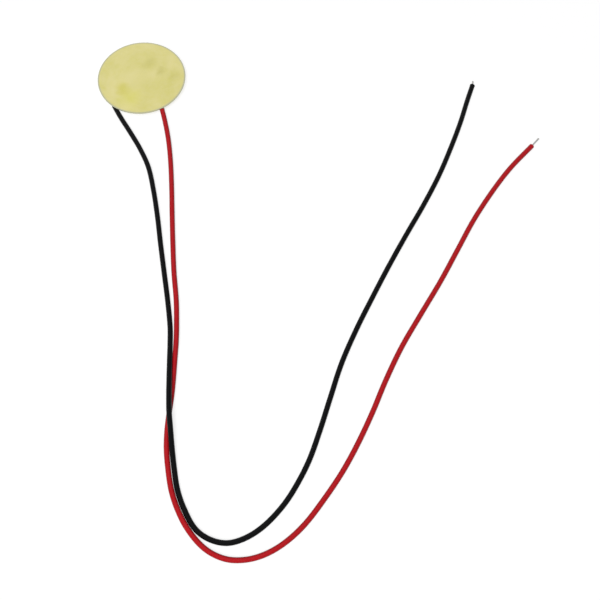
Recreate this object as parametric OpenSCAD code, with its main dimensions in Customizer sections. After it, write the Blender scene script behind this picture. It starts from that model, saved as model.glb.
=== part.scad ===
// Piezo disc with two leads.
// A ceramic disc is bonded to the underside of a thin brass plate, and two
// stranded leads are soldered on from below: the black one to the bare brass
// ring, the red one to the silver on the ceramic. The part lies with its bare
// brass face up, on its leads and solder joints.
// Millimetres, +Z up. The origin lies on the resting surface, under the
// middle of the plate.

/* [Brass plate] */
// Diameter of the plate
plate_d = 27; // [24:0.5:50]
// Thickness of the plate
plate_t = 0.3; // [0.15:0.05:0.6]
// Radius that the punch leaves round the top face
punch_roll = 0.06; // [0.02:0.01:0.12]

/* [Ceramic] */
// Diameter of the ceramic disc
ceramic_d = 20; // [14:0.5:24]
// Thickness of the ceramic disc
ceramic_t = 0.22; // [0.1:0.02:0.4]
// Thickness of the glue between the ceramic and the brass
glue_t = 0.03; // [0.01:0.01:0.1]
// Width of the ring of glue squeezed out past the ceramic
glue_squeeze = 0.25; // [0.05:0.05:0.5]
// Thickness of the silver fired on the ceramic
silver_t = 0.02; // [0.01:0.01:0.05]
// Width of the bare ceramic ring outside the silver
silver_margin = 0.6; // [0.2:0.1:1.5]

/* [Leads] */
// Diameter over the insulation
lead_d = 1.5; // [1:0.1:1.5]
// Diameter of the stranded conductor
conductor_d = 0.6; // [0.3:0.05:0.7]
// Room between the leads and the underside of the plate
lead_clearance = 0.1; // [0.05:0.05:0.5]
// Stripped length at the black lead's free end
black_tip_len = 1.8; // [1:0.1:8]
// Stripped length at the red lead's free end
red_tip_len = 3.7; // [1:0.1:8]
// Black conductor from the middle of its joint to its insulation
black_strip_len = 2.6; // [2.2:0.1:3.5]
// Red conductor from the middle of its joint to its insulation
red_strip_len = 2.9; // [2.8:0.1:3.5]

/* [Solder joints] */
// Diameter of the red joint
red_joint_d = 2.8; // [1.6:0.1:3.4]
// Room between the red joint and the silver's edge
red_joint_inset = 0.2; // [0.1:0.1:1]
// Direction of the red joint from the plate's middle, in degrees
red_joint_angle = -47; // [-52:1:-44]
// Room between the black joint and the glue, and the plate's edge
black_joint_inset = 0.15; // [0.05:0.05:0.5]
// Direction of the black joint from the plate's middle, in degrees
black_joint_angle = -140; // [-146:1:-136]
// Width of a joint's neck, as a share of its width on the pad
neck_share = 0.7; // [0.5:0.05:0.9]
// Height of the flared skirt, as a share of the joint's height
skirt_share = 0.35; // [0.1:0.05:0.6]
// Solder between a conductor and the pad under it
solder_film = 0.05; // [0.02:0.01:0.2]

/* [Hidden] */

$fn = 96;
tube_sides = 8;
arc_step = 10; // degrees between the points of a joint's outline

brass_colour = [0.85, 0.82, 0.54];
glue_colour = [0.62, 0.58, 0.48];
ceramic_colour = [0.80, 0.78, 0.70];
silver_colour = [0.86, 0.86, 0.84];
solder_colour = [0.62, 0.63, 0.64];
tinned_colour = [0.70, 0.69, 0.66];
black_colour = [0.06, 0.06, 0.07];
red_colour = [0.69, 0.10, 0.14];

// The layers, from the plate's underside down.
plate_z = lead_d + lead_clearance;
ceramic_top = plate_z - glue_t;
silver_top = ceramic_top - ceramic_t;
silver_z = silver_top - silver_t;
silver_d = ceramic_d - 2 * silver_margin;
glue_d = ceramic_d + 2 * glue_squeeze;

// The black joint fills the bare brass ring, the red one sits on the silver.
black_joint_d = (plate_d - glue_d) / 2 - 2 * black_joint_inset;
black_joint_r = (plate_d + glue_d) / 4;
red_joint_r = (silver_d - red_joint_d) / 2 - red_joint_inset;
black_joint = around(black_joint_r, black_joint_angle, plate_z);
red_joint = around(red_joint_r, red_joint_angle, silver_z);

// Where each conductor's axis ends inside its joint.
core_drop = [0, 0, solder_film + conductor_d / 2];
black_core = black_joint - core_drop;
red_core = red_joint - core_drop;

// Each lead's route from the plate's rim to its free end: x, y, and the
// height of its underside in lead diameters. The black lead climbs over the
// red one.
black_route = [
    [-5.7, -14, 0], [-2.1, -20, 0], [1, -25.5, 0], [3.9, -32, 0],
    [5.9, -40, 0], [7.6, -49, 0], [9, -58, 0], [10.5, -67, 0],
    [12, -76, 0], [13.1, -84, 0], [13.4, -89, 0.15], [13.6, -94, 0.6],
    [13.8, -99, 0.9], [14, -104, 1.05], [14.3, -109, 1.05],
    [14.9, -114, 0.9], [15.5, -119, 0.4], [16.4, -124.5, 0],
    [17.5, -130, 0], [19.3, -135, 0], [22.3, -140, 0], [26, -142.8, 0],
    [30.5, -143.8, 0], [35, -142.6, 0], [39.5, -139.7, 0], [44, -135, 0],
    [47.4, -130, 0], [51.2, -122.5, 0], [54.2, -114, 0], [57, -105, 0],
    [60.2, -95, 0], [64.4, -85, 0], [69.2, -75, 0], [74.2, -65, 0],
    [79.5, -55, 0], [85, -45, 0], [90, -35, 0], [94.2, -25, 0],
    [97.6, -16, 0], [100.2, -8, 0], [102.1, -2.5, 0]
];
red_route = [
    [7.8, -15, 0], [9.3, -22, 0], [10.4, -30, 0], [11.2, -39, 0],
    [11.8, -48, 0], [12.5, -57.5, 0], [13.3, -67, 0], [14.4, -76, 0],
    [14.9, -84, 0], [15, -89, 0], [14.9, -94, 0], [14.8, -99, 0],
    [14.6, -104, 0], [14.2, -109, 0], [13.9, -114, 0], [14, -119, 0],
    [14.6, -124.5, 0], [15.7, -130, 0], [17.5, -135, 0], [20.5, -140.5, 0],
    [25, -145.2, 0], [30, -147.7, 0], [35, -148, 0], [40, -146.7, 0],
    [45, -143.8, 0], [50, -139.2, 0], [55, -132.7, 0], [60, -125.2, 0],
    [64.2, -117.5, 0], [68.2, -109, 0], [72, -100, 0], [76.8, -90, 0],
    [82.6, -80, 0], [88.5, -70, 0], [93.9, -60, 0], [99.3, -50, 0],
    [105.7, -40, 0], [111.5, -32.2, 0], [118.3, -24.7, 0]
];
black_path = lead_path(black_route, black_core, black_strip_len);
red_path = lead_path(red_route, red_core, red_strip_len);

function unit(v) = v / norm(v);
function around(r, angle, z) = [r * cos(angle), r * sin(angle), z];
function last(list) = list[len(list) - 1];

// A route's points at the height of the lead's axis, from the place where the
// insulation was cut, strip_len from the middle of the joint.
function lead_path(route, core, strip_len) =
    let (
        axis = [for (p = route) [p.x, p.y, (p.z + 0.5) * lead_d]],
        level = [core.x, core.y, axis[0].z],
        cut = level + strip_len * unit(axis[0] - level)
    )
    concat([cut], axis);

// The direction of a path at each of its points. It starts square to the
// conductor that comes out of the joint.
function direction(path, i, core) =
    i == 0 ? unit(path[0] - core) :
    i == len(path) - 1 ? unit(path[i] - path[i - 1]) :
    unit(path[i + 1] - path[i - 1]);

// One ring of a tube, square to direction t, with a corner straight down.
function ring(centre, t, r) =
    let (
        side = unit(cross(t, [0, 0, 1])),
        up = cross(side, t)
    )
    [for (k = [0 : tube_sides - 1])
        let (a = 360 * k / tube_sides)
        centre + r * (cos(a) * side + sin(a) * up)];

// A solid tube swept along a path.
module tube(path, core, d) {
    corners = [for (i = [0 : len(path) - 1])
        each ring(path[i], direction(path, i, core), d / 2)];
    walls = [for (i = [0 : len(path) - 2], k = [0 : tube_sides - 1])
        let (
            here = i * tube_sides,
            next = here + tube_sides,
            k2 = (k + 1) % tube_sides
        )
        [here + k, here + k2, next + k2, next + k]];
    first_cap = [for (k = [tube_sides - 1 : -1 : 0]) k];
    last_cap = [for (k = [0 : tube_sides - 1])
        (len(path) - 1) * tube_sides + k];
    polyhedron(corners, concat(walls, [first_cap, last_cap]), convexity = 10);
}

// A round rod from one point towards another.
module rod(from, to, d, length) {
    v = to - from;
    translate(from)
        rotate([0, acos(v.z / norm(v)), atan2(v.y, v.x)])
        cylinder(d = d, h = length);
}

// Solder on a pad overhead, drawn down to the resting surface: a flared skirt
// and a round dome.
module solder(pad, d) {
    r = d / 2;
    neck = r * neck_share;
    skirt = pad.z * skirt_share;
    dome = pad.z - skirt;
    outline = concat(
        [for (a = [0 : arc_step : 90])
            [r - (r - neck) * sin(a), -skirt * (1 - cos(a))]],
        [for (a = [arc_step : arc_step : 90])
            [neck * cos(a), -skirt - dome * sin(a)]],
        [[0, 0]]
    );
    translate(pad) rotate_extrude() polygon(outline);
}

module layer(d, z, t) {
    translate([0, 0, z]) cylinder(d = d, h = t);
}

// Sheared from sheet, so the top edge is drawn over a little.
module brass_plate() {
    r = plate_d / 2;
    color(brass_colour) translate([0, 0, plate_z]) {
        cylinder(r = r - punch_roll, h = plate_t);
        rotate_extrude() {
            translate([r - punch_roll, plate_t - punch_roll])
                intersection() {
                    circle(r = punch_roll);
                    square(punch_roll);
                }
            translate([r - 2 * punch_roll, 0])
                square([2 * punch_roll, plate_t - punch_roll]);
        }
    }
}

module glue_film() {
    color(glue_colour) layer(glue_d, ceramic_top, glue_t);
}

module ceramic_disc() {
    color(ceramic_colour) layer(ceramic_d, silver_top, ceramic_t);
}

module silver_electrode() {
    color(silver_colour) layer(silver_d, silver_z, silver_t);
}

module black_bare_end() {
    color(tinned_colour)
        rod(black_core, black_path[0], conductor_d, norm(black_path[0] - black_core));
}

module red_bare_end() {
    color(tinned_colour)
        rod(red_core, red_path[0], conductor_d, norm(red_path[0] - red_core));
}

module black_solder_joint() {
    color(solder_colour) difference() {
        solder(black_joint, black_joint_d);
        black_bare_end();
    }
}

module red_solder_joint() {
    color(solder_colour) difference() {
        solder(red_joint, red_joint_d);
        red_bare_end();
    }
}

module black_lead() {
    color(black_colour) tube(black_path, black_core, lead_d);
}

module red_lead() {
    color(red_colour) tube(red_path, red_core, lead_d);
}

module tinned_tip(path, length) {
    end = last(path);
    before = path[len(path) - 2];
    color(tinned_colour) rod(end, 2 * end - before, conductor_d, length);
}

module black_tinned_tip() {
    tinned_tip(black_path, black_tip_len);
}

module red_tinned_tip() {
    tinned_tip(red_path, red_tip_len);
}

brass_plate();
glue_film();
ceramic_disc();
silver_electrode();
black_solder_joint();
red_solder_joint();
black_bare_end();
red_bare_end();
black_lead();
red_lead();
black_tinned_tip();
red_tinned_tip();
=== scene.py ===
"""A bare piezo disc lying brass side up on its two leads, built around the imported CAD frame."""

import math

import bmesh
import bpy
from mathutils import Matrix, Vector, noise


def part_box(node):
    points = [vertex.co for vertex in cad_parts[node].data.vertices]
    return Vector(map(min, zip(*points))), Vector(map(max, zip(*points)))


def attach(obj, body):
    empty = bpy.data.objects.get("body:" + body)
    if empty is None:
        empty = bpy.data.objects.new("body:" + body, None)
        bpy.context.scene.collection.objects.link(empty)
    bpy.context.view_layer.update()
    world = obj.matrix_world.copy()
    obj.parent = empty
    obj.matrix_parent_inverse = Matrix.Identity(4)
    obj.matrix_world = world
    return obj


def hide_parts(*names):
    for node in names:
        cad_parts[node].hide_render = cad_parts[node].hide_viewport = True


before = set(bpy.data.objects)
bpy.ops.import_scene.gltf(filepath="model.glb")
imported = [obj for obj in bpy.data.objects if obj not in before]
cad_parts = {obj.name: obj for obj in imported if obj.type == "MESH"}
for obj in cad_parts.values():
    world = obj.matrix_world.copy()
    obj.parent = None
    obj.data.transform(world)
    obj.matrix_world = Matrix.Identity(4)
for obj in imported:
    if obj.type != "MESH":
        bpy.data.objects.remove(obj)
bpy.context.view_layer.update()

MM = 0.001
FULL_TURN = 2 * math.pi
SPIN_STEPS = 256

LEAD_DIAMETER = 0.0015
LEAD_SIDES = 24
LEAD_STEP = 0.0005    # between the rings of a lead's skin, along its route
CUT_LIP = 0.00035     # how far the stretched lip of the cut insulation reaches past its route

# Each lead's axis, from the insulation's start under the plate to its free end, in metres. These
# are the routes in the part's source, except that they lie up to 0.2 mm closer together in the
# stretch that follows the place where the black lead climbs over the red one.
BLACK_ROUTE = [
    (-0.007873, -0.009927, 0.00075), (-0.0057, -0.014, 0.00075), (-0.0021, -0.02, 0.00075),
    (0.001, -0.0255, 0.00075), (0.0039, -0.032, 0.00075), (0.0059, -0.04, 0.00075),
    (0.0076, -0.049, 0.00075), (0.009, -0.058, 0.00075), (0.0105, -0.067, 0.00075),
    (0.012, -0.076, 0.00075), (0.0131, -0.084, 0.00075), (0.0134, -0.089, 0.000975),
    (0.0136, -0.094, 0.00165), (0.0138, -0.099, 0.0021), (0.014, -0.104, 0.002325),
    (0.0143, -0.109, 0.002325), (0.0149, -0.114, 0.0021), (0.0155, -0.119, 0.00135),
    (0.0163, -0.1245, 0.00075), (0.0174, -0.13, 0.00075), (0.0193, -0.135, 0.00075),
    (0.0223, -0.1401, 0.00075), (0.026, -0.1428, 0.00075), (0.0305, -0.1438, 0.00075),
    (0.035, -0.1426, 0.00075), (0.0395, -0.1397, 0.00075), (0.044, -0.135, 0.00075),
    (0.0474, -0.13, 0.00075), (0.0512, -0.1225, 0.00075), (0.0542, -0.114, 0.00075),
    (0.057, -0.105, 0.00075), (0.0602, -0.095, 0.00075), (0.0644, -0.085, 0.00075),
    (0.0692, -0.075, 0.00075), (0.0742, -0.065, 0.00075), (0.0795, -0.055, 0.00075),
    (0.085, -0.045, 0.00075), (0.09, -0.035, 0.00075), (0.0942, -0.025, 0.00075),
    (0.0976, -0.016, 0.00075), (0.1002, -0.008, 0.00075), (0.1021, -0.0025, 0.00075),
]
RED_ROUTE = [
    (0.006067, -0.008507, 0.00075), (0.0078, -0.015, 0.00075), (0.0093, -0.022, 0.00075),
    (0.0104, -0.03, 0.00075), (0.0112, -0.039, 0.00075), (0.0118, -0.048, 0.00075),
    (0.0125, -0.0575, 0.00075), (0.0133, -0.067, 0.00075), (0.0144, -0.076, 0.00075),
    (0.0149, -0.084, 0.00075), (0.015, -0.089, 0.00075), (0.0149, -0.094, 0.00075),
    (0.0148, -0.099, 0.00075), (0.0146, -0.104, 0.00075), (0.0142, -0.109, 0.00075),
    (0.0139, -0.114, 0.00075), (0.014, -0.119, 0.00075), (0.0147, -0.1245, 0.00075),
    (0.0158, -0.13, 0.00075), (0.0176, -0.135, 0.00075), (0.0206, -0.1404, 0.00075),
    (0.025, -0.1452, 0.00075), (0.03, -0.1477, 0.00075), (0.035, -0.148, 0.00075),
    (0.04, -0.1467, 0.00075), (0.045, -0.1438, 0.00075), (0.05, -0.1392, 0.00075),
    (0.055, -0.1327, 0.00075), (0.06, -0.1252, 0.00075), (0.0642, -0.1175, 0.00075),
    (0.0682, -0.109, 0.00075), (0.072, -0.1, 0.00075), (0.0768, -0.09, 0.00075),
    (0.0826, -0.08, 0.00075), (0.0885, -0.07, 0.00075), (0.0939, -0.06, 0.00075),
    (0.0993, -0.05, 0.00075), (0.1057, -0.04, 0.00075), (0.1115, -0.0322, 0.00075),
    (0.1183, -0.0247, 0.00075),
]

# Sizes of the stranded conductor, in metres.
STRAND_COUNT = 7
STRAND_RADIUS = 0.00007
LAY_LENGTH = 0.009
CONDUCTOR_DIAMETER = 0.0006
SOLDER_UNDER_CONDUCTOR = 0.00005

# In millimetres: how far the strands reach into the insulation, and how long each bare tip is.
TUCKED_IN = 0.8
TIP_LENGTH = {"black": 1.8, "red": 3.7}

# Radii from the disc's axis that a flux film keeps between, and the one where it runs off the
# silver onto the ceramic, in millimetres. The black lead's film lies on the brass alone.
FLUX_LIMITS = {"black": (10.33, 13.42, math.inf), "red": (5.75, 9.85, 9.41)}

# Stains on the brass: centre and reach in millimetres, strength and colour.
YELLOW_STAIN = (0.610, 0.563, 0.110, 1)
PALE_YELLOW_STAIN = (0.665, 0.637, 0.135, 1)
GREY_STAIN = (0.575, 0.532, 0.178, 1)
STAINS = (((-5.8, -4.4), 3.6, 0.66, YELLOW_STAIN), ((-3.0, -7.8), 5.4, 0.60, PALE_YELLOW_STAIN),
          ((5.8, 2.3), 2.5, 0.70, GREY_STAIN), ((2.2, 5.4), 3.0, 0.40, GREY_STAIN),
          ((10.0, 0.4), 2.6, 0.35, GREY_STAIN))


# ---------------------------------------------------------------- camera and light

def make_camera():
    """Looks down on the table from the front, high above the leads' loop."""
    data = bpy.data.cameras.new("Camera")
    data.lens = 64.53
    data.sensor_width = 36
    data.clip_start = 0.01
    data.clip_end = 20
    camera = bpy.data.objects.new("Camera", data)
    bpy.context.scene.collection.objects.link(camera)
    target = Vector((0.04893, -0.07550, 0))
    distance = 0.301
    elevation = math.radians(64.2)
    away = Vector((0, -math.cos(elevation), math.sin(elevation)))
    camera.location = target + away * distance
    camera.rotation_mode = "QUATERNION"
    camera.rotation_quaternion = (-away).to_track_quat("-Z", "Y")
    bpy.context.scene.camera = camera


def make_lamp(name, place, size, watts, target):
    """A square soft box that faces the target and is left out of reflections."""
    data = bpy.data.lights.new(name, "AREA")
    data.shape = "SQUARE"
    data.size = size
    data.energy = watts
    lamp = bpy.data.objects.new(name, data)
    bpy.context.scene.collection.objects.link(lamp)
    lamp.location = place
    lamp.rotation_mode = "QUATERNION"
    lamp.rotation_quaternion = (Vector(place) - Vector(target)).to_track_quat("Z", "Y")
    lamp.visible_glossy = False


def make_world(lit, shown):
    """A studio dome: lit is what falls on things, and shown is what mirrors and the camera meet.

    Each is a level all over and soft areas on it, (towards, cosines of edge and full, change).
    """
    world = bpy.data.worlds.new("Studio")
    bpy.context.scene.world = world
    world.use_nodes = True
    tree = world.node_tree
    tree.nodes.clear()
    direction = put(tree, "ShaderNodeTexCoord").outputs["Generated"]
    strengths = []
    for level, areas in (lit, shown):
        for towards, edge, full, change in areas:
            facing = put(tree, "ShaderNodeVectorMath",
                         {0: direction, 1: Vector(towards).normalized()},
                         operation="DOT_PRODUCT").outputs["Value"]
            level = plus(tree, level, times(tree, soften(tree, facing, edge, full), change))
        strengths.append(level)
    strength = between(tree, seen_rays(tree), *strengths)
    light = put(tree, "ShaderNodeBackground", {"Color": (1, 1, 1, 1), "Strength": strength})
    put(tree, "ShaderNodeOutputWorld", {"Surface": light.outputs[0]})


def make_floor():
    """A large white table top that curves up into a low backdrop all round.

    It is a dull grey that glows a little where it is seen, more so further out, where less of
    the lamp's light falls on it. So it looks white all over and still keeps soft shadows.
    """
    bm = bmesh.new()
    rise = [(0, 0), (2.4, 0), (2.8, 0.03), (3.2, 0.14), (3.5, 0.34), (3.7, 0.62), (3.8, 1.0),
            (3.82, 1.5)]
    points = [bm.verts.new((radius, 0, height)) for radius, height in rise]
    edges = [bm.edges.new(pair) for pair in zip(points, points[1:])]
    bmesh.ops.spin(bm, geom=points + edges, cent=(0, 0, 0), axis=(0, 0, 1), angle=FULL_TURN,
                   steps=96, use_merge=True)
    bmesh.ops.remove_doubles(bm, verts=bm.verts, dist=1e-5)
    mesh = bpy.data.meshes.new("floor")
    bm.to_mesh(mesh)
    bm.free()
    mesh.polygons.foreach_set("use_smooth", [True] * len(mesh.polygons))
    floor = bpy.data.objects.new("floor", mesh)
    bpy.context.scene.collection.objects.link(floor)
    material, tree = new_material("White table")
    near, far = 0.3, 2.2
    seen = seen_rays(tree)
    grey = put(tree, "ShaderNodeBsdfDiffuse", {"Color": (0.25, 0.25, 0.25, 1)})
    place = put(tree, "ShaderNodeNewGeometry").outputs["Position"]
    reach = put(tree, "ShaderNodeVectorMath", {0: place}, operation="LENGTH").outputs["Value"]
    glow = between(tree, soften(tree, reach, near, far), 0.77, 1.0)
    white = put(tree, "ShaderNodeEmission", {"Strength": times(tree, seen, glow)})
    both = put(tree, "ShaderNodeAddShader", {0: grey.outputs[0], 1: white.outputs[0]})
    put(tree, "ShaderNodeOutputMaterial", {"Surface": both.outputs[0]})
    mesh.materials.append(material)


# ---------------------------------------------------------------- shader helpers

def put(tree, kind, inputs=None, **settings):
    """Adds a node. Inputs are values or sockets, by name or number; settings are its fields."""
    node = tree.nodes.new(kind)
    for field, value in settings.items():
        setattr(node, field, value)
    for socket, value in (inputs or {}).items():
        if isinstance(value, bpy.types.NodeSocket):
            tree.links.new(value, node.inputs[socket])
        else:
            node.inputs[socket].default_value = value
    return node


def effect(name, inputs, outputs):
    """An empty shader group with named sockets; gives its tree, inside inputs and outputs."""
    tree = bpy.data.node_groups.new(name, "ShaderNodeTree")
    for label, kind, value in inputs:
        socket = tree.interface.new_socket(name=label, in_out="INPUT", socket_type=kind)
        if value is not None:
            socket.default_value = value
    for label in outputs:
        tree.interface.new_socket(name=label, in_out="OUTPUT", socket_type="NodeSocketFloat")
    return tree, put(tree, "NodeGroupInput").outputs, put(tree, "NodeGroupOutput").inputs


def use(tree, group, **inputs):
    """Places a group in a material with its own values and gives its outputs."""
    named = {label.replace("_", " "): value for label, value in inputs.items()}
    return put(tree, "ShaderNodeGroup", named, node_tree=group).outputs


def times(tree, a, b):
    """The product of two numbers."""
    return put(tree, "ShaderNodeMath", {0: a, 1: b}, operation="MULTIPLY").outputs[0]


def plus(tree, a, b):
    """The sum of two numbers."""
    return put(tree, "ShaderNodeMath", {0: a, 1: b}, operation="ADD").outputs[0]


def over(tree, a, b):
    """The first number divided by the second."""
    return put(tree, "ShaderNodeMath", {0: a, 1: b}, operation="DIVIDE").outputs[0]


def less(tree, a, b):
    """The first number less the second."""
    return put(tree, "ShaderNodeMath", {0: a, 1: b}, operation="SUBTRACT").outputs[0]


def between(tree, mask, low, high):
    """A number that goes from low to high as the mask goes from 0 to 1."""
    return put(tree, "ShaderNodeMapRange", {"Value": mask, "To Min": low,
                                            "To Max": high}).outputs[0]


def soften(tree, value, start, end):
    """0 at start and 1 at end, with a smooth step between."""
    return put(tree, "ShaderNodeMapRange", {"Value": value, "From Min": start, "From Max": end},
               interpolation_type="SMOOTHSTEP").outputs[0]


def tint(tree, mask, below, above):
    """The colour below where the mask is 0 and the one above where it is 1.

    The mix node's sockets 6 and 7 take colours, and its output 2 gives one.
    """
    return put(tree, "ShaderNodeMix", {0: mask, 6: below, 7: above}, data_type="RGBA").outputs[2]


def seen_rays(tree):
    """1 for rays that the camera sends out or a mirror sends on, and 0 for light on a surface."""
    path = put(tree, "ShaderNodeLightPath").outputs
    seen = plus(tree, path["Is Camera Ray"], path["Is Glossy Ray"])
    return plus(tree, seen, path["Is Transmission Ray"])


def in_millimetres(tree, source=None):
    """Object coordinates, or a stored attribute in metres, as millimetres."""
    if source is None:
        place = put(tree, "ShaderNodeTexCoord").outputs["Object"]
    else:
        place = put(tree, "ShaderNodeAttribute", attribute_name=source).outputs["Vector"]
    return put(tree, "ShaderNodeMapping", {"Vector": place,
                                           "Scale": (1000, 1000, 1000)}).outputs[0]


def flattened(tree, place):
    """The place moved down or up onto the plane Z = 0."""
    return put(tree, "ShaderNodeVectorMath", {0: place, 1: (1, 1, 0)},
               operation="MULTIPLY").outputs[0]


def new_material(name):
    """A material with an empty tree."""
    material = bpy.data.materials.new(name)
    material.use_nodes = True
    material.node_tree.nodes.clear()
    return material, material.node_tree


def finish_shader(tree, inputs, height, depth):
    """Joins a Principled shader, with a bump of that depth in metres, to the output."""
    bump = put(tree, "ShaderNodeBump", {"Height": height, "Distance": depth, "Strength": 1.0})
    inputs["Normal"] = bump.outputs[0]
    shader = put(tree, "ShaderNodeBsdfPrincipled", inputs)
    put(tree, "ShaderNodeOutputMaterial", {"Surface": shader.outputs[0]})


# ---------------------------------------------------------------- shared effects

def cloudy_patches():
    """Soft irregular patches of a given size."""
    tree, given, result = effect("Cloudy patches",
                                 [("Place", "NodeSocketVector", None),
                                  ("Size", "NodeSocketFloat", 1.0),
                                  ("Softness", "NodeSocketFloat", 0.3)], ["Mask"])
    scale = over(tree, 1.0, given["Size"])
    cloud = put(tree, "ShaderNodeTexNoise", {"Vector": given["Place"], "Scale": scale,
                                             "Detail": 4.0, "Roughness": 0.55})
    half = times(tree, given["Softness"], 0.5)
    mask = soften(tree, cloud.outputs["Fac"], less(tree, 0.5, half), plus(tree, half, 0.5))
    tree.links.new(mask, result["Mask"])
    return tree


def drawn_lines():
    """Fine lines along Z, as rolling, drawing and extruding leave them."""
    tree, given, result = effect("Drawn lines",
                                 [("Place", "NodeSocketVector", None),
                                  ("Spacing", "NodeSocketFloat", 0.1),
                                  ("Stretch", "NodeSocketFloat", 30.0)], ["Height"])
    parts = put(tree, "ShaderNodeSeparateXYZ", {0: given["Place"]}).outputs
    along = over(tree, parts["Z"], given["Stretch"])
    squeezed = put(tree, "ShaderNodeCombineXYZ", {"X": parts["X"], "Y": parts["Y"],
                                                  "Z": along}).outputs[0]
    scale = over(tree, 1.0, given["Spacing"])
    lines = put(tree, "ShaderNodeTexNoise", {"Vector": squeezed, "Scale": scale,
                                             "Detail": 2.0, "Roughness": 0.6})
    tree.links.new(lines.outputs["Fac"], result["Height"])
    return tree


def fine_scratches():
    """Thin curved handling scratches, broken up into short lengths."""
    tree, given, result = effect("Fine scratches",
                                 [("Place", "NodeSocketVector", None),
                                  ("Size", "NodeSocketFloat", 3.0),
                                  ("Width", "NodeSocketFloat", 0.02)], ["Mask"])
    scale = over(tree, 1.0, given["Size"])
    bend = put(tree, "ShaderNodeTexNoise", {"Vector": given["Place"], "Scale": scale,
                                            "Detail": 1.0})
    bent = put(tree, "ShaderNodeMix", {0: 0.55, 4: given["Place"], 5: bend.outputs["Color"]},
               data_type="VECTOR").outputs[1]
    cells = put(tree, "ShaderNodeTexVoronoi", {"Vector": bent, "Scale": scale},
                feature="DISTANCE_TO_EDGE")
    line = put(tree, "ShaderNodeMapRange", {"Value": cells.outputs["Distance"],
                                            "From Max": given["Width"], "To Min": 1.0,
                                            "To Max": 0.0})
    gaps = put(tree, "ShaderNodeTexNoise", {"Vector": given["Place"], "Scale": 0.8, "Detail": 1.0})
    kept = soften(tree, gaps.outputs["Fac"], 0.5, 0.62)
    tree.links.new(times(tree, line.outputs[0], kept), result["Mask"])
    return tree


def small_specks():
    """Scattered specks of dust or grit, a few to each cell of the given spacing."""
    tree, given, result = effect("Small specks",
                                 [("Place", "NodeSocketVector", None),
                                  ("Spacing", "NodeSocketFloat", 0.5),
                                  ("Size", "NodeSocketFloat", 0.12),
                                  ("Share", "NodeSocketFloat", 0.3)], ["Mask"])
    scale = over(tree, 1.0, given["Spacing"])
    cells = put(tree, "ShaderNodeTexVoronoi", {"Vector": given["Place"], "Scale": scale})
    spot = put(tree, "ShaderNodeMapRange", {"Value": cells.outputs["Distance"],
                                            "From Max": given["Size"], "To Min": 1.0,
                                            "To Max": 0.0}, interpolation_type="SMOOTHSTEP")
    draw = put(tree, "ShaderNodeSeparateXYZ", {0: cells.outputs["Color"]}).outputs["X"]
    chosen = put(tree, "ShaderNodeMath", {0: draw, 1: given["Share"]}, operation="LESS_THAN")
    tree.links.new(times(tree, spot.outputs[0], chosen.outputs[0]), result["Mask"])
    return tree


def rim_band():
    """1 beyond a radius from the Z axis and 0 inside it, over a band of a given width."""
    tree, given, result = effect("Rim band",
                                 [("Place", "NodeSocketVector", None),
                                  ("Radius", "NodeSocketFloat", 1.0),
                                  ("Width", "NodeSocketFloat", 0.2)], ["Mask"])
    flat = flattened(tree, given["Place"])
    radius = put(tree, "ShaderNodeVectorMath", {0: flat}, operation="LENGTH").outputs["Value"]
    start = less(tree, given["Radius"], given["Width"])
    tree.links.new(soften(tree, radius, start, given["Radius"]), result["Mask"])
    return tree


def warped(tree, place, scale, amount):
    """The place pushed about by a noise, so that round spots get ragged outlines."""
    drift = put(tree, "ShaderNodeTexNoise", {"Vector": place, "Scale": scale, "Detail": 3.0})
    push = put(tree, "ShaderNodeVectorMath", {0: drift.outputs["Color"], 1: (0.5, 0.5, 0.5)},
               operation="SUBTRACT").outputs[0]
    return put(tree, "ShaderNodeVectorMath", {0: push, 1: (amount, amount, amount), 2: place},
               operation="MULTIPLY_ADD").outputs[0]


def near_spot(tree, place, spot, reach):
    """1 at a point of the plan and 0 beyond its reach, all in millimetres."""
    far = put(tree, "ShaderNodeVectorMath", {0: flattened(tree, place), 1: (*spot, 0)},
              operation="DISTANCE").outputs["Value"]
    return soften(tree, far, reach, 0.0)


# ---------------------------------------------------------------- materials

def brass_sheet(effects):
    """Pale rolled brass with faint tarnish, handling marks and a dull punched edge whose greyer
    colour is painted shade.
    """
    material, tree = new_material("Rolled brass")
    place = in_millimetres(tree)
    wavy = warped(tree, place, 0.35, 3.5)
    broad = use(tree, effects["patches"], Place=place, Size=6.0, Softness=0.45)["Mask"]
    small = use(tree, effects["patches"], Place=place, Size=1.6, Softness=0.6)["Mask"]
    colour = tint(tree, broad, (0.718, 0.657, 0.297, 1), (0.674, 0.628, 0.215, 1))
    colour = tint(tree, times(tree, small, 0.5), colour, (0.718, 0.662, 0.334, 1))
    for spot, reach, share, tone in STAINS:
        stained = times(tree, near_spot(tree, wavy, spot, reach), share)
        colour = tint(tree, stained, colour, tone)
    # The greyer band round the edge is painted shade for the darker look of the rolled-over rim;
    # the extra roughness there is real dullness.
    rim = use(tree, effects["rim"], Place=place, Radius=13.36, Width=0.50)["Mask"]
    colour = tint(tree, times(tree, rim, 0.95), colour, (0.565, 0.562, 0.385, 1))
    turned = put(tree, "ShaderNodeMapping", {"Vector": place,
                                             "Rotation": (0, math.radians(90), 0.35)}).outputs[0]
    grain = use(tree, effects["lines"], Place=turned, Spacing=0.12, Stretch=60.0)["Height"]
    marks = use(tree, effects["scratches"], Place=place, Size=4.5, Width=0.008)["Mask"]
    dull = plus(tree, times(tree, broad, 0.05), times(tree, grain, 0.08))
    rough = plus(tree, plus(tree, dull, 0.38), times(tree, rim, 0.1))
    height = plus(tree, times(tree, grain, 0.5), times(tree, marks, -0.6))
    finish_shader(tree, {"Base Color": colour, "Metallic": 1.0, "Roughness": rough},
                  height, depth=0.0000025)
    return material


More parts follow.
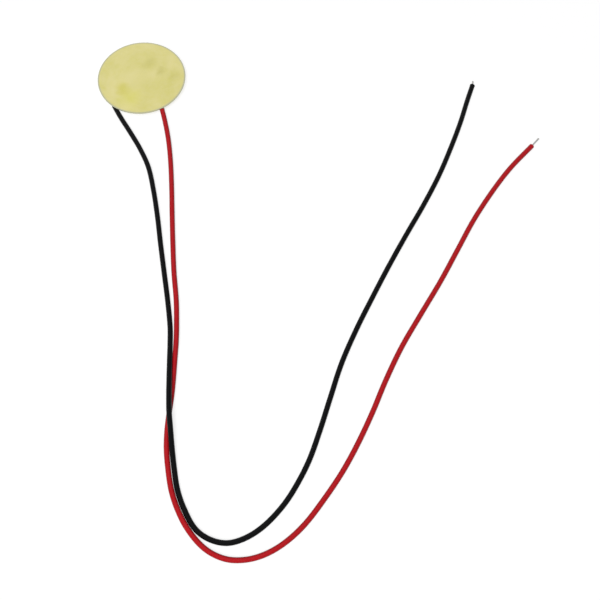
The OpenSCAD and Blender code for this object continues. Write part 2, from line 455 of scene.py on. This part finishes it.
def cured_epoxy(effects):
    """Honey coloured glue, glossy, with small trapped bubbles."""
    material, tree = new_material("Cured epoxy")
    place = in_millimetres(tree)
    cloud = use(tree, effects["patches"], Place=place, Size=1.5, Softness=0.7)["Mask"]
    bubbles = use(tree, effects["specks"], Place=place, Spacing=0.35, Size=0.3,
                  Share=0.35)["Mask"]
    colour = tint(tree, cloud, (0.44, 0.32, 0.13, 1), (0.56, 0.45, 0.22, 1))
    colour = tint(tree, times(tree, bubbles, 0.5), colour, (0.72, 0.66, 0.48, 1))
    rough = between(tree, cloud, 0.12, 0.3)
    finish_shader(tree, {"Base Color": colour, "Roughness": rough, "Coat Weight": 0.4,
                         "Coat Roughness": 0.1}, bubbles, depth=0.000008)
    return material


def fired_ceramic(effects):
    """Cream piezo ceramic, matt and finely grained, with small dark grit."""
    material, tree = new_material("Fired ceramic")
    place = in_millimetres(tree)
    cloud = use(tree, effects["patches"], Place=place, Size=2.5, Softness=0.8)["Mask"]
    grain = put(tree, "ShaderNodeTexNoise", {"Vector": place, "Scale": 14.0, "Detail": 3.0,
                                             "Roughness": 0.7}).outputs["Fac"]
    grit = use(tree, effects["specks"], Place=place, Spacing=0.4, Size=0.16, Share=0.2)["Mask"]
    colour = tint(tree, cloud, (0.68, 0.62, 0.46, 1), (0.74, 0.70, 0.55, 1))
    colour = tint(tree, times(tree, grain, 0.35), colour, (0.58, 0.53, 0.40, 1))
    colour = tint(tree, times(tree, grit, 0.6), colour, (0.36, 0.32, 0.25, 1))
    rough = between(tree, grain, 0.45, 0.7)
    finish_shader(tree, {"Base Color": colour, "Roughness": rough}, grain, depth=0.000006)
    return material


def printed_silver(effects):
    """Fired silver paste: satin, with the print screen's weave and slight yellow tarnish."""
    material, tree = new_material("Printed silver")
    place = in_millimetres(tree)
    cloud = use(tree, effects["patches"], Place=place, Size=3.0, Softness=0.5)["Mask"]
    blots = use(tree, effects["patches"], Place=place, Size=0.7, Softness=0.4)["Mask"]
    rim = use(tree, effects["rim"], Place=place, Radius=9.5, Width=1.6)["Mask"]
    marks = use(tree, effects["scratches"], Place=place, Size=2.6, Width=0.012)["Mask"]
    across = put(tree, "ShaderNodeTexWave", {"Vector": place, "Scale": 1.6, "Distortion": 0.6,
                                             "Detail": 1.0}, bands_direction="X")
    along = put(tree, "ShaderNodeTexWave", {"Vector": place, "Scale": 1.6, "Distortion": 0.6,
                                            "Detail": 1.0}, bands_direction="Y")
    weave = times(tree, across.outputs["Fac"], along.outputs["Fac"])
    colour = tint(tree, times(tree, cloud, 0.6), (0.80, 0.79, 0.75, 1), (0.72, 0.70, 0.63, 1))
    colour = tint(tree, times(tree, blots, 0.3), colour, (0.87, 0.86, 0.83, 1))
    colour = tint(tree, times(tree, rim, 0.35), colour, (0.66, 0.58, 0.40, 1))
    colour = tint(tree, times(tree, marks, 0.3), colour, (0.90, 0.90, 0.88, 1))
    rough = plus(tree, between(tree, blots, 0.55, 0.42), times(tree, marks, -0.15))
    height = plus(tree, times(tree, weave, 0.5), times(tree, blots, 0.5))
    finish_shader(tree, {"Base Color": colour, "Metallic": 1.0, "Roughness": rough},
                  height, depth=0.000006)
    return material


def cooled_solder(effects):
    """Tin solder: bright where it froze last, frosty elsewhere, with a trace of flux."""
    material, tree = new_material("Cooled solder")
    place = in_millimetres(tree)
    frost = use(tree, effects["patches"], Place=place, Size=0.6, Softness=0.5)["Mask"]
    fine = use(tree, effects["patches"], Place=place, Size=0.12, Softness=0.8)["Mask"]
    colour = tint(tree, frost, (0.66, 0.67, 0.68, 1), (0.50, 0.51, 0.52, 1))
    stain = use(tree, effects["patches"], Place=place, Size=1.1, Softness=0.25)["Mask"]
    colour = tint(tree, times(tree, stain, 0.2), colour, (0.50, 0.40, 0.22, 1))
    rough = between(tree, frost, 0.14, 0.34)
    finish_shader(tree, {"Base Color": colour, "Metallic": 1.0, "Roughness": rough},
                  plus(tree, times(tree, fine, 0.5), frost), depth=0.000004)
    return material


def tinned_strands(effects):
    """Tinned copper wire, a little dull, with the copper showing through in spots."""
    material, tree = new_material("Tinned strands")
    place = in_millimetres(tree)
    cloud = use(tree, effects["patches"], Place=place, Size=0.5, Softness=0.5)["Mask"]
    worn = use(tree, effects["specks"], Place=place, Spacing=0.3, Size=0.28, Share=0.16)["Mask"]
    colour = tint(tree, cloud, (0.66, 0.65, 0.63, 1), (0.45, 0.44, 0.43, 1))
    colour = tint(tree, times(tree, worn, 0.5), colour, (0.55, 0.33, 0.20, 1))
    rough = between(tree, cloud, 0.22, 0.45)
    finish_shader(tree, {"Base Color": colour, "Metallic": 1.0, "Roughness": rough},
                  cloud, depth=0.000006)
    return material


def flux_film(effects, spots):
    """Dried rosin flux: a thin amber film, deepest close to the joints at those two spots."""
    material, tree = new_material("Dried flux")
    place = in_millimetres(tree)
    first, second = [near_spot(tree, place, spot, 2.9) for spot in spots]
    deep = plus(tree, first, second)
    cloud = use(tree, effects["patches"], Place=place, Size=0.8, Softness=0.7)["Mask"]
    crazing = use(tree, effects["scratches"], Place=place, Size=0.5, Width=0.05)["Mask"]
    colour = tint(tree, cloud, (0.58, 0.30, 0.03, 1), (0.70, 0.45, 0.08, 1))
    rough = between(tree, cloud, 0.06, 0.2)
    clear = plus(tree, times(tree, deep, 0.75), between(tree, cloud, 0.20, 0.08))
    finish_shader(tree, {"Base Color": colour, "Roughness": rough, "Alpha": clear,
                         "Coat Weight": 0.5, "Coat Roughness": 0.08}, crazing, depth=0.00001)
    return material


def soft_pvc(effects, name, body, shade, dusty, gloss):
    """Extruded PVC insulation: satin, with extrusion lines, small dents and dust.

    Its place comes from lead_place, which has the distance along the lead as its Z.
    """
    material, tree = new_material(name)
    place = in_millimetres(tree, "lead_place")
    cloud = use(tree, effects["patches"], Place=place, Size=3.0, Softness=0.6)["Mask"]
    dents = use(tree, effects["patches"], Place=place, Size=0.9, Softness=0.7)["Mask"]
    lines = use(tree, effects["lines"], Place=place, Spacing=0.35, Stretch=14.0)["Height"]
    dust = use(tree, effects["specks"], Place=place, Spacing=0.55, Size=0.1, Share=0.12)["Mask"]
    colour = tint(tree, times(tree, cloud, 0.5), body, shade)
    colour = tint(tree, times(tree, dust, 0.35), colour, dusty)
    rough = plus(tree, between(tree, dents, 0.27, 0.38), times(tree, dust, 0.2))
    height = plus(tree, times(tree, lines, 0.6), times(tree, plus(tree, dents, dust), 0.4))
    finish_shader(tree, {"Base Color": colour, "Roughness": rough,
                         "Specular IOR Level": gloss}, height, depth=0.000014)
    return material


# ---------------------------------------------------------------- mesh helpers

def add_piece(name, bm, material, nodes=(), crease=40):
    """Makes a finished piece that rides on the body and stands for those CAD nodes."""
    mesh = bpy.data.meshes.new(name)
    bm.to_mesh(mesh)
    bm.free()
    mesh.polygons.foreach_set("use_smooth", [True] * len(mesh.polygons))
    mesh.set_sharp_from_angle(angle=math.radians(crease))
    mesh.materials.append(material)
    piece = bpy.data.objects.new(name, mesh)
    bpy.context.scene.collection.objects.link(piece)
    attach(piece, "root")
    if nodes:
        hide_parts(*nodes)
    return piece


def spun(profile, steps=SPIN_STEPS):
    """A closed solid turned about the Z axis from (radius, height) points in millimetres."""
    bm = bmesh.new()
    points = [bm.verts.new((radius * MM, 0, height * MM)) for radius, height in profile]
    edges = [bm.edges.new(pair) for pair in zip(points, points[1:])]
    bmesh.ops.spin(bm, geom=points + edges, cent=(0, 0, 0), axis=(0, 0, 1), angle=FULL_TURN,
                   steps=steps, use_merge=True)
    bmesh.ops.remove_doubles(bm, verts=bm.verts, dist=1e-7)
    bmesh.ops.recalc_face_normals(bm, faces=bm.faces)
    return bm


def axis_distance(vert):
    """How far a vertex is from the Z axis, in millimetres."""
    return math.hypot(vert.co.x, vert.co.y) / MM


def outward(vert):
    """The level direction from the Z axis to a vertex."""
    return Vector((vert.co.x, vert.co.y, 0)).normalized()


def wobble(bm, inner, outer, amount, size, seed):
    """Pushes points in or out from the Z axis by a smooth wave, fully at the outer radius."""
    for vert in bm.verts:
        radius = axis_distance(vert)
        share = min(1.0, max(0.0, (radius - inner) / (outer - inner)))
        if share > 0:
            place = Vector((vert.co.x, vert.co.y, seed * MM)) / (size * MM)
            change = 1 + share * amount * noise.noise(place) / radius
            vert.co.x *= change
            vert.co.y *= change


def move(bm, offset):
    """Moves a whole mesh, in metres."""
    bmesh.ops.translate(bm, verts=bm.verts, vec=offset)


def open_ends(bm):
    """The boundary edges of a mesh."""
    return [edge for edge in bm.edges if edge.is_boundary]


# ---------------------------------------------------------------- the disc

def make_plate(material):
    """The brass plate, punched from sheet: rolled-over top edge, bright band, torn band, burr."""
    low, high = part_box("brass_plate")
    bottom, top = low.z / MM, high.z / MM
    radius = high.x / MM
    rolled = [(radius - 0.6, top), (radius - 0.2, top - 0.001), (radius - 0.11, top - 0.005),
              (radius - 0.05, top - 0.017), (radius - 0.014, top - 0.043)]
    bright = [(radius, top - 0.08), (radius, top - 0.20)]
    torn = [(radius - 0.006, top - 0.215), (radius - 0.012, top - 0.25),
            (radius - 0.02, top - 0.29)]
    burr = [(radius - 0.022, bottom - 0.008), (radius - 0.034, bottom - 0.006),
            (radius - 0.05, bottom)]
    bm = spun([(0, top), (radius * 0.5, top)] + rolled + bright + torn + burr
              + [(radius * 0.5, bottom), (0, bottom)])
    tear_size, tear_depth = 0.35, 0.008
    for vert in bm.verts:
        if axis_distance(vert) > radius - 0.045 and vert.co.z / MM < top - 0.205:
            tear = noise.noise(vert.co / (tear_size * MM)) * tear_depth * MM
            vert.co += outward(vert) * tear
    return add_piece("punched_plate", bm, material, ["brass_plate"], crease=50)


def make_glue(material):
    """The glue line, with the uneven bead that squeezed out round the ceramic."""
    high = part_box("glue_film")[1]
    outer, top = high.x / MM, high.z / MM
    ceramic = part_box("ceramic_disc")[1].x / MM
    bm = spun([(0, top), (outer, top - 0.001), (outer - 0.03, top - 0.016),
               (outer - 0.10, top - 0.042), (ceramic + 0.06, top - 0.085),
               (ceramic + 0.012, top - 0.13), (ceramic - 0.03, top - 0.14),
               (ceramic - 0.04, top - 0.02), (0, top - 0.02)], steps=224)
    wobble(bm, ceramic - 0.02, outer, 0.26, 1.6, 3)
    return add_piece("glue_bead", bm, material, ["glue_film"], crease=60)


def make_ceramic(material):
    """The ceramic disc, with softened edges and a few small chips."""
    low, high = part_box("ceramic_disc")
    bottom, top, radius = low.z / MM, high.z / MM, high.x / MM
    bm = spun([(0, top), (radius - 0.02, top), (radius, top - 0.02), (radius, bottom + 0.10),
               (radius, bottom + 0.05), (radius - 0.012, bottom + 0.018),
               (radius - 0.03, bottom + 0.003), (radius - 0.08, bottom),
               (radius - 0.2, bottom), (radius - 0.4, bottom), (0, bottom)], steps=320)
    chip_size, chip_rarity, deepest = 0.9, 0.42, 0.11
    for vert in bm.verts:
        if axis_distance(vert) > radius - 0.15 and vert.co.z / MM < bottom + 0.12:
            bite = noise.noise(vert.co / (chip_size * MM) + Vector((4, 1, 7))) - chip_rarity
            vert.co -= outward(vert) * min(max(0.0, bite) * 0.6, deepest) * MM
    return add_piece("ceramic_wafer", bm, material, ["ceramic_disc"], crease=35)


def make_silver(material):
    """The printed silver electrode, with a slightly uneven edge."""
    low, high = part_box("silver_electrode")
    bottom, top, radius = low.z / MM, high.z / MM, high.x / MM
    bm = spun([(0, top), (radius, top), (radius - 0.01, top - 0.008),
               (radius - 0.04, bottom + 0.003), (radius - 0.12, bottom), (0, bottom)], steps=288)
    wobble(bm, radius - 0.6, radius, 0.07, 0.5, 11)
    return add_piece("printed_electrode", bm, material, ["silver_electrode"])


# ---------------------------------------------------------------- solder and flux

def over_centre(colour, height):
    """A point at a height in metres above the centre of a lead's solder joint in the plan."""
    low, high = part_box(f"{colour}_solder_joint")
    return Vector(((low.x + high.x) / 2, (low.y + high.y) / 2, height))


def conductor_start(colour):
    """Where the conductor's axis ends inside a lead's solder joint."""
    drop = SOLDER_UNDER_CONDUCTOR + CONDUCTOR_DIAMETER / 2
    return over_centre(colour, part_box(f"{colour}_solder_joint")[1].z - drop)


def one_skin(bm, voxel):
    """One even skin round overlapping closed shapes; the voxel is in millimetres."""
    bmesh.ops.scale(bm, verts=bm.verts, vec=(1 / MM, 1 / MM, 1 / MM))
    mesh = bpy.data.meshes.new("rough_shape")
    bm.to_mesh(mesh)
    bm.free()
    rough = bpy.data.objects.new("rough_shape", mesh)
    bpy.context.scene.collection.objects.link(rough)
    skin = rough.modifiers.new("Skin", "REMESH")
    skin.mode = "VOXEL"
    skin.voxel_size = voxel
    bm = bmesh.new()
    bm.from_object(rough, bpy.context.evaluated_depsgraph_get())
    bpy.data.objects.remove(rough)
    bpy.data.meshes.remove(mesh)
    bmesh.ops.scale(bm, verts=bm.verts, vec=(MM, MM, MM))
    return bm


def make_joint(colour, lead_start, seed, material):
    """A hand-made solder joint: a dome that wets the surface and draws out along the wire."""
    node = f"{colour}_solder_joint"
    low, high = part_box(node)
    reach, tall = (high.x - low.x) / 2 / MM, (high.z - low.z) / MM
    outline = [(0, 0.35), (1.15, 0.35), (1.15, 0.03), (0.77, 0.03), (0.76, -0.15), (0.78, -0.35),
               (0.78, -0.55), (0.73, -0.73), (0.62, -0.87), (0.45, -0.96), (0.24, -1.02),
               (0, -1.04)]
    bm = spun([(share * reach, up if up > 0 else up * tall) for share, up in outline], steps=64)
    base = over_centre(colour, high.z)
    move(bm, base)
    core = conductor_start(colour)
    heading = (Vector(lead_start) - core).normalized()
    neck_long, neck_wide, neck_narrow = 1.85 * MM, 0.72 * MM, 0.34 * MM
    neck_place = frame_at(core + heading * 0.92 * MM, heading, 1.0)
    bmesh.ops.create_cone(bm, cap_ends=True, segments=32, radius1=neck_wide,
                          radius2=neck_narrow, depth=neck_long, matrix=neck_place)
    bm = one_skin(bm, voxel=0.06)
    ripple_size, ripple_depth, smoothings = 0.9, 0.10, 40
    for vert in bm.verts:
        ripple = noise.noise(vert.co / (ripple_size * MM) + Vector((seed, 2, 5)))
        vert.co += (vert.co - base).normalized() * ripple * ripple_depth * MM
    for _ in range(smoothings):
        bmesh.ops.smooth_vert(bm, verts=bm.verts, factor=0.5, use_axis_x=True, use_axis_y=True,
                              use_axis_z=True)
    bmesh.ops.bisect_plane(bm, geom=bm.verts[:] + bm.edges[:] + bm.faces[:],
                           plane_co=base, plane_no=(0, 0, 1), clear_outer=True)
    bmesh.ops.holes_fill(bm, edges=open_ends(bm), sides=0)
    lowest = min(vert.co.z for vert in bm.verts)
    stretch = (high.z - low.z) / (high.z - lowest)
    for vert in bm.verts:
        vert.co.z = high.z + (vert.co.z - high.z) * stretch
    bmesh.ops.recalc_face_normals(bm, faces=bm.faces)
    return add_piece(f"{colour}_solder", bm, material, [node], crease=70)


def make_flux(colour, seed, material):
    """The film of flux round a joint, kept between two radii from the disc's axis."""
    inner, outer, step = FLUX_LIMITS[colour]
    low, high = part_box(f"{colour}_solder_joint")
    reach = (high.x - low.x) / 2 / MM
    spill = 1.0
    bm = spun([(0, 0.002), (reach + spill, 0.002), (reach + spill - 0.02, -0.010),
               (reach + spill - 0.10, -0.018), (reach + 0.5, -0.026), (reach + 0.2, -0.032),
               (reach, -0.036), (reach * 0.6, -0.04), (0, -0.04)], steps=128)
    wobble(bm, reach * 0.8, reach + spill, 0.75, 2.1, seed)
    move(bm, over_centre(colour, 0))
    middle = (inner + outer) / 2 * MM
    half = (outer - inner) / 2 * MM
    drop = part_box("ceramic_disc")[0].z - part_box("silver_electrode")[0].z
    squeeze = 1.15
    widest = math.tanh(1.9)
    # The film is pressed together as it nears its two limits.
    for vert in bm.verts:
        far = math.hypot(vert.co.x, vert.co.y)
        kept = middle + half * math.tanh((far - middle) / half * squeeze) / widest
        kept = min(kept, outer * MM)
        vert.co.x *= kept / far
        vert.co.y *= kept / far
        if kept > step * MM:
            vert.co.z += drop
    move(bm, Vector((0, 0, high.z)))
    return add_piece(f"{colour}_flux", bm, material, crease=60)


# ---------------------------------------------------------------- leads

def smooth_line(route, step):
    """Evenly spaced points on a smooth curve through the route, no lower than it can lie."""
    points = [Vector(point) for point in route]
    parts = 24
    dense = []
    for number, (start, end) in enumerate(zip(points, points[1:])):
        before = points[max(number - 1, 0)]
        after = points[min(number + 2, len(points) - 1)]
        long = (end - start).length / 3
        first = start + (end - before).normalized() * long
        second = end - (after - start).normalized() * long
        for part in range(parts):
            t = part / parts
            dense.append(start * (1 - t) ** 3 + first * 3 * t * (1 - t) ** 2
                         + second * 3 * t * t * (1 - t) + end * t ** 3)
    dense.append(points[-1])
    for point in dense:
        point.z = max(point.z, LEAD_DIAMETER / 2)
    travelled = [0.0]
    for first, second in zip(dense, dense[1:]):
        travelled.append(travelled[-1] + (second - first).length)
    total = travelled[-1]
    count = round(total / step)
    line = []
    spot = 0
    for number in range(count + 1):
        goal = total * number / count
        while spot < len(dense) - 2 and travelled[spot + 1] < goal:
            spot += 1
        share = (goal - travelled[spot]) / (travelled[spot + 1] - travelled[spot])
        line.append(dense[spot].lerp(dense[spot + 1], share))
    return line, total


def frame_at(place, heading, size):
    """A matrix that puts a flat ring across a heading, its X to the right and its Y up."""
    right = heading.cross(Vector((0, 0, 1))).normalized()
    up = right.cross(heading)
    turn = Matrix((right, up, heading)).transposed() * size
    return Matrix.Translation(place) @ turn.to_4x4()


def end_of_lead(place, heading, facing, flare, bore):
    """Frames for a cut end, from the full round in over the lip and down the bore."""
    shape = [(1.0, -0.50), (1 + 0.5 * flare, -0.38), (1 + flare, -0.26), (1 + flare, -0.17),
             (0.96 + flare, -0.09), (0.86 + flare, -0.03), (0.70 + flare * 0.5, 0.0),
             (0.56, -0.015), (0.47, -0.07), (bore, -0.16), (bore, -0.9)]
    return [frame_at(place + facing * shift * MM, heading, size) for size, shift in shape]


def make_lead(colour, route, flare, material):
    """A lead's insulation: one tube swept along its route, with cut ends and an open bore.

    Flare is how much wider the cut made the free end, as a share of the radius.
    """
    line, total = smooth_line(route, LEAD_STEP)
    headings = [(line[min(n + 1, len(line) - 1)] - line[max(n - 1, 0)]).normalized()
                for n in range(len(line))]
    bore = 0.32
    near = end_of_lead(line[0], headings[0], -headings[0], 0.04, bore)
    far = end_of_lead(line[-1] + headings[-1] * CUT_LIP, headings[-1], headings[-1], flare, bore)
    spacing = total / (len(line) - 1)
    swell_share, swell_length = 0.012, 0.004
    body = []
    for n in range(2, len(line) - 2):
        swell = 1 + swell_share * noise.noise(Vector((n * spacing / swell_length, 0.3, 7.7)))
        body.append(frame_at(line[n], headings[n], swell))
    frames = near[::-1] + body + far
    travelled = [0.0]
    for before, after in zip(frames, frames[1:]):
        travelled.append(travelled[-1] + (after.translation - before.translation).length)
    bm = bmesh.new()
    stored = bm.verts.layers.float_vector.new("lead_place")
    bmesh.ops.create_grid(bm, x_segments=len(frames) - 1, y_segments=LEAD_SIDES, size=1)
    for vert in bm.verts:
        number = round((vert.co.x + 1) / 2 * (len(frames) - 1))
        angle = vert.co.y * math.pi
        local = Vector((math.cos(angle), math.sin(angle), 0)) * (LEAD_DIAMETER / 2)
        vert[stored] = Vector((local.x, local.y, travelled[number]))
        vert.co = frames[number] @ local
    bmesh.ops.remove_doubles(bm, verts=bm.verts, dist=1e-7)
    bmesh.ops.holes_fill(bm, edges=open_ends(bm), sides=0)
    bmesh.ops.recalc_face_normals(bm, faces=bm.faces)
    name = f"{colour}_insulation"
    piece = add_piece(name, bm, material, [f"{colour}_lead"], crease=60)
    return piece, line, total


def make_strands(name, node, start, end, material, kink=(0.0, 0.0), spread=0.0, bead=0.0):
    """Twisted strands round a middle one from start to end, as a node's detailed piece.

    Kink is where they bend, in millimetres from the start, and their slope to the right from
    there. Spread is the share by which they fan out, and bead is the radius in millimetres of
    a drop of solder at the end. Their far ends are uneven, by up to 5% of their length.
    """
    along = end - start
    long = along.length
    bend_from, slope = kink
    softness = 0.3
    ragged = 0.05
    bm = bmesh.new()
    steps = max(8, round(long / (0.18 * MM)))
    turn = FULL_TURN * long / LAY_LENGTH
    outer_count = STRAND_COUNT - 1
    for number in range(STRAND_COUNT):
        angle = FULL_TURN * number / outer_count
        out = 0.0 if number == outer_count else 2 * STRAND_RADIUS
        centre = Vector((out * math.cos(angle), out * math.sin(angle), 0))
        shorter = 1 - ragged * (number * 0.37 % 1)
        ring = bmesh.ops.create_circle(bm, cap_ends=True, segments=10, radius=STRAND_RADIUS,
                                       matrix=Matrix.Translation(centre))["verts"]
        edges = list({edge for vert in ring for edge in vert.link_edges})
        swept = bmesh.ops.spin(bm, geom=edges, cent=(0, 0, 0), axis=(0, 0, 1),
                               dvec=(0, 0, long * shorter / steps), angle=turn * shorter,
                               steps=steps)["geom_last"]
        last = [part for part in swept if isinstance(part, bmesh.types.BMEdge)]
        tip = bmesh.ops.extrude_edge_only(bm, edges=last)["geom"]
        tip_ring = [part for part in tip if isinstance(part, bmesh.types.BMVert)]
        middle = sum((vert.co for vert in tip_ring), Vector()) / len(tip_ring)
        bmesh.ops.translate(bm, verts=tip_ring, vec=(0, 0, 0.3 * STRAND_RADIUS))
        bmesh.ops.scale(bm, verts=tip_ring, vec=(0.7, 0.7, 1),
                        space=Matrix.Translation(-middle))
        rim = [part for part in tip if isinstance(part, bmesh.types.BMEdge)]
        bmesh.ops.contextual_create(bm, geom=rim)
    if bead:
        drop = bmesh.ops.create_uvsphere(bm, u_segments=28, v_segments=18, radius=bead * MM,
                                         matrix=Matrix.Translation((0, 0, long - bead * MM))
                                         @ Matrix.Diagonal((1, 0.86, 1.5, 1)))["verts"]
        for vert in drop:
            lump = noise.noise(vert.co / (0.35 * MM)) * 0.05 * MM
            vert.co += outward(vert) * lump
    for vert in bm.verts:
        past = vert.co.z / MM - bend_from
        bent = 0.5 * (past + math.sqrt(past * past + softness * softness)) * MM
        wider = 1 + spread * min(1.0, max(0.0, vert.co.z / long))
        vert.co.x = vert.co.x * wider + bent * slope
        vert.co.y *= wider
    bmesh.ops.transform(bm, matrix=frame_at(start, along.normalized(), 1.0), verts=bm.verts)
    bmesh.ops.recalc_face_normals(bm, faces=bm.faces)
    return add_piece(name, bm, material, [node], crease=60)


# ---------------------------------------------------------------- the whole part

def build_lead(colour, route, pvc, wire, flare, kink, spread, bead):
    """One lead with its bare tip and its bare end at the joint; gives where it starts.

    The kink is measured in millimetres from the end of the insulation.
    """
    lead, line, total = make_lead(colour, route, flare, pvc)
    heading = (line[-1] - line[-3]).normalized()
    bend_from, slope = kink
    tip = make_strands(f"{colour}_tip_strands", f"{colour}_tinned_tip",
                       line[-1] - heading * TUCKED_IN * MM,
                       line[-1] + heading * (TIP_LENGTH[colour] * MM), wire,
                       kink=(bend_from + TUCKED_IN, slope), spread=spread, bead=bead)
    core = conductor_start(colour)
    towards = (line[0] - core).normalized()
    root = make_strands(f"{colour}_joint_strands", f"{colour}_bare_end", core,
                        line[0] + towards * TUCKED_IN * MM, wire)
    return line[0]


def build():
    """Makes the camera, the leads, the disc, the light and the table."""
    bpy.context.scene.view_settings.view_transform = "Standard"
    make_camera()
    effects = {"patches": cloudy_patches(), "lines": drawn_lines(),
               "scratches": fine_scratches(), "specks": small_specks(), "rim": rim_band()}
    black = soft_pvc(effects, "Black PVC", body=(0.0009, 0.0010, 0.0014, 1),
                     shade=(0.0018, 0.0019, 0.0026, 1), dusty=(0.05, 0.05, 0.05, 1), gloss=0.10)
    red = soft_pvc(effects, "Red PVC", body=(0.430, 0.0068, 0.0115, 1),
                   shade=(0.365, 0.0052, 0.0090, 1), dusty=(0.48, 0.11, 0.11, 1), gloss=0.17)
    wire = tinned_strands(effects)
    starts = {"black": build_lead("black", BLACK_ROUTE, black, wire, flare=0.07,
                                  kink=(0.35, -0.17), spread=0.5, bead=0.0),
              "red": build_lead("red", RED_ROUTE, red, wire, flare=0.0,
                                kink=(0.6, -0.03), spread=0.3, bead=0.24)}
    make_plate(brass_sheet(effects))
    make_glue(cured_epoxy(effects))
    make_ceramic(fired_ceramic(effects))
    make_silver(printed_silver(effects))
    solder = cooled_solder(effects)
    spots = [conductor_start(colour) / MM for colour in starts]
    flux = flux_film(effects, [(spot.x, spot.y) for spot in spots])
    for number, (colour, lead_start) in enumerate(starts.items()):
        make_joint(colour, lead_start, number * 9.1, solder)
        make_flux(colour, number * 5 + 2, flux)
    overhead = ((0, 0.40, 0.91), 0.80, 0.97, 0.7)
    bright_card = ((-0.15, 0.42, 0.90), 0.88, 0.97, 0.45)
    dark_card = ((0.75, 0.42, 0.50), 0.70, 0.92, -0.40)
    make_world(lit=(0.05, [overhead]), shown=(0.87, [bright_card, dark_card]))
    make_lamp("Soft box", place=(-0.20, -0.745, 1.32), size=0.9, watts=23.5,
              target=(0.04, -0.07, 0))
    make_floor()


build()
